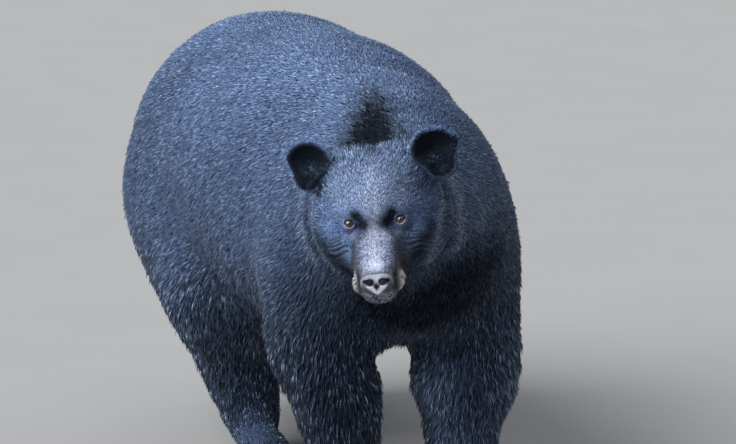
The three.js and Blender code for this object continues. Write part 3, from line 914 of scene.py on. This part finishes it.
def grow_coat(skin):
    roots, normals, uv = scattered(skin.data)
    count = len(roots)
    length = coat_length(roots)
    width = by_length(length, WIDTHS) * MM * rng.uniform(0.7, 1.3, count)
    lie = lie_of_coat(roots, normals)
    # A tuft shows mostly near its tip, so it takes the mark of the skin that its tip lies over.
    over = roots + 0.6 * length[:, None] * lie
    plain = 1 - darkness(over)
    colours, tone, glint = tuft_tones(roots, over, length, plain)
    width *= 1 - 0.45 * np.minimum(glint, 1)
    corners = tuft_shapes(roots, normals, lie, over, length, width, plain)

    h = in_head(over)
    on_head = headness(h) > 0.5
    on_muzzle = on_head & (h[:, 1] < -14) & (np.abs(h[:, 0]) < 60) & (h[:, 2] < 4)
    dark = 1 - plain > rng.uniform(0.3, 0.8, count)
    zone = np.select([dark, on_muzzle, on_head, roots[:, 2] < LEG_TOP], [0, 1, 2, 4], 3)
    ordered = np.lexsort((roots[:, 1], zone))
    for number, (name, slot, material) in enumerate(COAT_ZONES):
        members = ordered[zone[ordered] == number]
        parts = math.ceil(len(members) / PIECE_TUFTS)
        for k, own in enumerate(np.array_split(members, parts)):
            piece = make_coat_piece(
                f"coat_{name}_{k + 1}", corners[own], uv[own], colours[own], tone[own], glint[own]
            )
            piece.data.materials.append(material)
            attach(piece, BODY)


def make_coat_piece(name, corners, uv, colours, tone, glint):
    count = len(corners)
    faces = (TUFT_FACES + 4 * np.arange(count)[:, None, None]).reshape(-1, 3)
    mesh = bpy.data.meshes.new(name)
    mesh.vertices.add(count * 4)
    mesh.vertices.foreach_set("co", corners.astype(np.float32).ravel())
    mesh.loops.add(len(faces) * 3)
    mesh.loops.foreach_set("vertex_index", faces.astype(np.int32).ravel())
    mesh.polygons.add(len(faces))
    mesh.polygons.foreach_set("loop_start", np.arange(0, len(faces) * 3, 3, dtype=np.int32))
    mesh.polygons.foreach_set("use_smooth", np.ones(len(faces), bool))
    patches = (uv[:, None] + TUFT_PATCH)[:, TUFT_FACES.ravel()]
    layer = mesh.uv_layers.new(name="OFBake")
    layer.data.foreach_set("uv", patches.astype(np.float32).ravel())
    write_attributes(
        mesh,
        coat_colour=np.repeat(colours, 4, 0),
        tone=np.repeat(tone, 4),
        glint=np.repeat(glint, 4),
        along=np.tile([0, KNEE, KNEE, 1.0], count),
    )
    mesh.update()
    mesh.validate()
    return new_object(name, mesh)


# ---- materials
def new_material(name, **values):
    """A material and its node tree. Values that are the same all over go on the shader's sockets."""
    made = bpy.data.materials.new(name)
    made.use_nodes = True
    shader = made.node_tree.nodes["Principled BSDF"]
    for socket, value in values.items():
        shader.inputs[socket.replace("_", " ")].default_value = value
    return made, made.node_tree, shader


def attribute(tree, name, output="Fac"):
    node = add_node(tree, "Attribute")
    node.attribute_name = name
    return node.outputs[output]


def paint(tree, shader, colour):
    tree.links.new(colour, shader.inputs["Base Color"])


def give(tree, socket, value):
    """Links a socket to another one, or puts a plain value on it."""
    if isinstance(value, bpy.types.NodeSocket):
        tree.links.new(value, socket)
    else:
        socket.default_value = value


def add_node(tree, kind, **inputs):
    node = tree.nodes.new(f"ShaderNode{kind}")
    for name, value in inputs.items():
        give(tree, node.inputs[name], value)
    return node


def maths(tree, operation, *values):
    node = add_node(tree, "Math")
    node.operation = operation
    for socket, value in zip(node.inputs, values):
        give(tree, socket, value)
    return node.outputs[0]


def colour_mix(tree, share, first, second, kind="MIX"):
    node = add_node(tree, "Mix")
    node.data_type = "RGBA"
    node.blend_type = kind
    for place, value in ((0, share), (6, first), (7, second)):
        give(tree, node.inputs[place], value)
    return node.outputs[2]


def noise(tree, scale, detail=3.0, stretch=(1, 1, 1)):
    place = add_node(tree, "TexCoord").outputs["Object"]
    mapped = add_node(tree, "Mapping", Vector=place, Scale=stretch).outputs[0]
    return add_node(tree, "TexNoise", Vector=mapped, Scale=scale, Detail=detail).outputs["Fac"]


def add_bump(tree, shader, height, strength, distance):
    bump = add_node(tree, "Bump", Strength=strength, Distance=distance, Height=height)
    tree.links.new(bump.outputs[0], shader.inputs["Normal"])


def fur_material(name, roughness, gloss, sheen):
    made, tree, shader = new_material(
        name, Roughness=roughness, Specular_IOR_Level=gloss, Sheen_Weight=sheen, Sheen_Roughness=0.4
    )
    shader.inputs["Specular Tint"].default_value = GLOSS_TINT
    shader.inputs["Sheen Tint"].default_value = SHEEN_TINT
    along = attribute(tree, "along")
    # Painted shade down in the coat: a tuft darkens towards its root and brightens towards its tip.
    to_tip = maths(tree, "MULTIPLY_ADD", maths(tree, "POWER", along, 3.0), 1.5, 0.22)
    scale = add_node(tree, "VectorMath")
    scale.operation = "SCALE"
    give(tree, scale.inputs[0], attribute(tree, "coat_colour", "Color"))
    give(tree, scale.inputs["Scale"], maths(tree, "MULTIPLY", attribute(tree, "tone"), to_tip))
    # Painted glints: some tips are mixed towards the glint colour.
    bright = maths(tree, "MULTIPLY", attribute(tree, "glint"), maths(tree, "POWER", along, 2.2))
    tipped = colour_mix(tree, bright, scale.outputs[0], GLINT)
    paint(tree, shader, colour_mix(tree, 1.0, tipped, BRIGHTEST, "DARKEN"))
    return made


def skin_material():
    made, tree, shader = new_material("skin", Roughness=0.75, Specular_IOR_Level=0.12)
    marks = attribute(tree, "coat_colour", "Color")
    dark = colour_mix(tree, 1.0, marks, (0.45, 0.45, 0.45, 1), "MULTIPLY")
    grain = noise(tree, 420, 4)
    paint(tree, shader, colour_mix(tree, grain, dark, marks))
    add_bump(tree, shader, grain, 0.5, 0.0015)
    return made


def nose_material():
    made, tree, shader = new_material("nose_leather", Specular_IOR_Level=0.2)
    place = add_node(tree, "TexCoord").outputs["Object"]
    cells = add_node(tree, "TexVoronoi", Scale=620, Vector=place)
    mottle = colour_mix(tree, noise(tree, 160), *LEATHER_TONES)
    # Painted wet reflection below the nostrils, and paler leather on top.
    toned = colour_mix(tree, attribute(tree, "pale"), mottle, PALE_TOP_AND_WET_GLEAM)
    deep = attribute(tree, "deep")
    rough = maths(tree, "MULTIPLY_ADD", attribute(tree, "dry"), 0.35, 0.28)
    tree.links.new(maths(tree, "MAXIMUM", rough, deep), shader.inputs["Roughness"])
    # Painted shade: black in the nostrils, and black down the groove of the lip.
    paint(tree, shader, colour_mix(tree, deep, toned, BLACKEST))
    add_bump(tree, shader, cells.outputs["Distance"], 0.35, 0.0008)
    return made


def eye_material():
    made, tree, shader = new_material("eye", Roughness=0.25, Coat_Weight=1.0, Coat_Roughness=0.02)
    ramp = add_node(tree, "ValToRGB", Fac=attribute(tree, "from_pupil"))
    while len(ramp.color_ramp.elements) < len(IRIS):
        ramp.color_ramp.elements.new(0.5)
    for element, (place, colour) in zip(ramp.color_ramp.elements, IRIS):
        element.position = place
        element.color = colour
    rays = noise(tree, 900, 2, (1, 0.2, 1))
    paint(tree, shader, colour_mix(tree, 0.5, ramp.outputs["Color"], rays, "MULTIPLY"))
    return made


def lid_material():
    made, tree, shader = new_material("lid_rim", Roughness=0.45, Specular_IOR_Level=0.3)
    paint(tree, shader, colour_mix(tree, attribute(tree, "pale"), *LID_TONES))
    add_bump(tree, shader, noise(tree, 900), 0.3, 0.0004)
    return made


def grained_material(name, tones, grain, bump=None, **values):
    """A material between two tones, mixed by noise of the given scale, detail and stretch."""
    made, tree, shader = new_material(name, **values)
    height = noise(tree, *grain)
    paint(tree, shader, colour_mix(tree, height, *tones))
    if bump:
        add_bump(tree, shader, height, *bump)
    return made


FUR = fur_material("fur", 0.36, 0.45, 0.05)
MUZZLE_FUR = fur_material("muzzle_fur", 0.45, 0.35, 0.05)
EAR_AND_SHADE_FUR = fur_material("ear_fur", 0.55, 0.10, 0.0)
# The dark zone holds the black ears and the fur painted dark as shade, in a fur that hardly shines.
COAT_ZONES = [
    ("dark", "ear_fur", EAR_AND_SHADE_FUR),
    ("muzzle", "muzzle_fur", MUZZLE_FUR),
    ("head", "fur", FUR),
    ("trunk", "fur", FUR),
    ("legs", "fur", FUR),
]
SKIN = skin_material()
NOSE = nose_material()
# The insides of the nostrils are painted black as their shade, with no shine.
NOSTRIL = grained_material("nostril", NOSTRIL_TONES, (200,), Roughness=1.0, Specular_IOR_Level=0.0)
EYE = eye_material()
LID = lid_material()
CLAW = grained_material(
    "claw_horn", HORN_TONES, (60, 4, (6, 1, 6)), (0.4, 0.0006), Roughness=0.38, Specular_IOR_Level=0.5
)


# ---- eyes, nose and claws
def grid_mesh(name, rows, loop_rows=False):
    """A mesh through rows of points, each row closed on itself."""
    count, wide, _ = rows.shape
    faces = []
    for i in range(count if loop_rows else count - 1):
        after = (i + 1) % count
        for j in range(wide):
            beside = (j + 1) % wide
            faces.append((i * wide + j, i * wide + beside, after * wide + beside, after * wide + j))
    if not loop_rows:
        faces.append(tuple(range(wide))[::-1])
        faces.append(tuple((count - 1) * wide + j for j in range(wide)))
    mesh = bpy.data.meshes.new(name)
    mesh.from_pydata(rows.reshape(-1, 3).tolist(), [], faces)
    shade_smooth(mesh)
    return mesh


def make_eye(name, side):
    """An eyeball that looks along the gaze, with a low bulge over the iris."""
    rings = np.linspace(0.02, math.pi - 0.02, 40)
    turns = np.linspace(0, 2 * math.pi, 48, endpoint=False)
    a, t = np.meshgrid(rings, turns, indexing="ij")
    ways = np.stack([np.sin(a) * np.cos(t), np.sin(a) * np.sin(t), np.cos(a)], -1) @ EYE_AXES
    bulge = 0.9 * np.clip(1 - (a / 0.62) ** 2, 0, 1)
    radius = EYE_RADIUS - 0.6 + bulge
    places = mirrored(EYE_PLACE, side) + ways * radius[..., None]
    mesh = grid_mesh(name, from_head(places))
    write_attributes(mesh, from_pupil=a.ravel())
    return new_object(name, mesh, EYE)


def make_lid_rim(name, side):
    """The bare edge of both lids, a thin ring round the opening."""
    turns = np.linspace(0, 2 * math.pi, 72, endpoint=False)
    a = 10.0 * np.cos(turns) + 0.3
    b = 0.6 + 8.9 * np.sin(turns) * np.abs(np.sin(turns)) ** 0.15 + 0.10 * a
    ahead = np.sqrt(np.maximum((EYE_RADIUS + 0.5) ** 2 - a**2 - b**2, 1))
    centre = mirrored(EYE_PLACE, side)
    ring = centre + np.stack([a * side, b, ahead], 1) @ EYE_AXES
    tangent = unit(np.roll(ring, -1, 0) - np.roll(ring, 1, 0))
    outward = unit(ring - centre)
    flank = np.cross(tangent, outward)
    around = np.linspace(0, 2 * math.pi, 10, endpoint=False)[:, None]
    tube = 1.2 + 0.7 * np.clip(np.sin(turns), 0, 1)
    ways = np.cos(around) * outward[:, None] * 0.8 + np.sin(around) * flank[:, None]
    rows = ring[:, None] + tube[:, None, None] * ways
    mesh = grid_mesh(name, from_head(rows), loop_rows=True)
    write_attributes(mesh, pale=np.repeat(ease(0.1, -0.6, np.sin(turns)), len(around)))
    return new_object(name, mesh, LID)


def nostril(p, side):
    hole = limb(p, [(side * 12, -154, -59, 5.4), (side * 14, -130, -60, 5.4)])
    slit = limb(p, [(side * 11, -144, -58, 4.8), (side * 23, -139, -59, 2.8)])
    return np.minimum(hole, slit)


def nose_shape(p):
    """The bare nose: a broad rounded pad with comma-shaped nostrils and a groove down its middle."""
    value = blend(
        10,
        egg(p, (0, -129, -64), (27, 16, 14)),
        *paired(lambda side: egg(p, (side * 16, -130, -67), (17, 15, 16))),
        egg(p, (0, -129, -80), (12, 13, 12)),
    )
    value = np.maximum(value, p[:, 1] + 119)
    for side in SIDES.values():
        value = carve(3, value, nostril(p, side))
    groove = hill(p[:, 0], 2.2) * ease(-58, -66, p[:, 2]) * ease(-86, -78, p[:, 2])
    return value + 2.6 * groove


def make_nose():
    """The nose pad: grey on top, painted black as shade in the nostrils, and a painted wet reflection below
    them.
    """
    rings = np.linspace(0.03, math.pi - 0.03, 90)
    turns = np.linspace(0, 2 * math.pi, 128, endpoint=False)
    a, t = np.meshgrid(rings, turns, indexing="ij")
    ways = np.stack([np.sin(a) * np.cos(t), -np.cos(a), np.sin(a) * np.sin(t)], -1)
    start = NOSE_PLACE + ways * (34, 17, 22)
    places = settled(start.reshape(-1, 3), nose_shape, 9)
    mesh = grid_mesh("nose_leather", from_head(places).reshape(len(rings), len(turns), 3))
    wide, z = np.abs(places[:, 0]), places[:, 2]
    inside = np.minimum(*(nostril(places, side) for side in SIDES.values()))
    philtrum = np.interp(z, [-82, -76, -70, -62], [-4, 1.0, 4.5, 6])
    outer = np.interp(z, [-88, -66], [5, 23])
    # Painted wet reflection below the nostrils.
    under = ease(-62, -69, z) * ease(-2, 3, wide - philtrum) * ease(outer + 3, outer - 5, wide)
    top = ease(-72, -56, z) * (0.13 + 0.12 * hill(wide, 15))
    lip_groove = ease(4, -3, wide - philtrum) * ease(-61, -66, z)
    pale = np.maximum(0.95 * under * ease(0.3, 1.6, inside), top * ease(0.5, 5.0, inside))
    # Painted shade in the nostrils, and black down the groove of the lip.
    deep = np.maximum(ease(1.8, 0.6, inside), 0.8 * lip_groove)
    write_attributes(mesh, pale=pale, dry=top, deep=deep)
    piece = new_object("nose_leather", mesh, NOSE, NOSTRIL)
    # The faces in the nostrils take the black painted there as shade.
    for polygon in mesh.polygons:
        polygon.material_index = int(inside[list(polygon.vertices)].max() < 0.7)
    return piece


def rounded_claw(node):
    """A claw of the frame with its facets rounded off."""
    bm = bmesh.new()
    bm.from_mesh(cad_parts[node].data)
    bmesh.ops.remove_doubles(bm, verts=bm.verts, dist=1e-5)
    mesh = bpy.data.meshes.new(f"{node}_horn")
    bm.to_mesh(mesh)
    bm.free()
    piece = new_object(f"{node}_horn", mesh, CLAW)
    surface = piece.modifiers.new("round", "SUBSURF")
    surface.levels = surface.render_levels = 3
    baked(piece)
    shade_smooth(piece.data)
    return piece


def keep(piece, slot, *nodes):
    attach(piece, BODY)
    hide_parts(*nodes)


skin = make_skin()
skin.data.materials.append(SKIN)
keep(skin, "fur", *FLESH)
grow_coat(skin)
for side_name, side_sign in SIDES.items():
    keep(make_eye(f"eyeball_{side_name}", side_sign), "eye", f"eye_{side_name}")
    rim = make_lid_rim(f"lid_rim_{side_name}", side_sign)
    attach(rim, BODY)
keep(make_nose(), "nose_skin", "nose")
for node_name in list(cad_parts):
    if "claw" in node_name:
        keep(rounded_claw(node_name), "claw", node_name)


# ---- stage, light and camera
FLOOR_SIZE = 2000
FLOOR_TONES = ((0.285, 0.262, 0.243, 1), (0.310, 0.285, 0.263, 1))
FILL = (0.109, 0.120, 0.140, 1)  # the light from all round ...
BACKDROP = (0.47, 0.48, 0.49, 1)  # ... and what the camera sees beyond the floor
# Each light's name, the way it falls, its spread in degrees, strength and colour.
SUNS = [
    ("key", (0.72, 0.17, -0.67), 50, 5.4, (0.86, 0.93, 1.0)),
    ("sky", (0.10, -0.25, -1.0), 100, 2.0, (0.78, 0.88, 1.0)),
]


def make_floor():
    bpy.ops.mesh.primitive_plane_add(size=FLOOR_SIZE)
    floor = bpy.context.object
    floor.name = "floor"
    plain = grained_material("floor", FLOOR_TONES, (3,), Roughness=0.9, Specular_IOR_Level=0.2)
    floor.data.materials.append(plain)


def soft_sun(name, towards, spread, strength, colour):
    """A wide, even light that falls the way it is told."""
    data = bpy.data.lights.new(name, "SUN")
    data.angle = math.radians(spread)
    data.energy = strength
    data.color = colour
    light = new_object(name, data)
    light.rotation_euler = Vector(towards).to_track_quat("-Z", "Y").to_euler()


def studio():
    world = bpy.data.worlds.new("studio")
    bpy.context.scene.world = world
    world.use_nodes = True
    tree = world.node_tree
    seen = add_node(tree, "LightPath").outputs["Is Camera Ray"]
    tone = colour_mix(tree, seen, FILL, BACKDROP)
    tree.links.new(tone, tree.nodes["Background"].inputs["Color"])
    for sun in SUNS:
        soft_sun(*sun)
    bpy.context.scene.view_settings.view_transform = "Standard"


# The camera looks at the middle of the eyes from ahead and a little above, from the bear's right.
AZIMUTH = math.radians(-19)
ELEVATION = math.radians(11)
DISTANCE = 8.0
LENS = 195.65
AIM_ASIDE = 0.014  # the eyes are this far right of the middle of the view
FARTHEST = 3000  # what the camera still sees, so that the floor has no near edge


def make_camera():
    data = bpy.data.cameras.new("camera")
    data.lens = LENS
    data.sensor_width = 36
    data.clip_end = FARTHEST
    camera = new_object("camera", data)
    right = Vector((math.cos(AZIMUTH), math.sin(AZIMUTH), 0))
    level = Vector((-math.sin(AZIMUTH), math.cos(AZIMUTH), 0))
    forward = level * math.cos(ELEVATION) - Vector((0, 0, math.sin(ELEVATION)))
    eyes = Vector((middle("eye_left") + middle("eye_right")) / 2)
    camera.location = eyes - forward * DISTANCE - right * AIM_ASIDE
    camera.rotation_euler = forward.to_track_quat("-Z", "Y").to_euler()
    bpy.context.scene.camera = camera


make_floor()
studio()
make_camera()
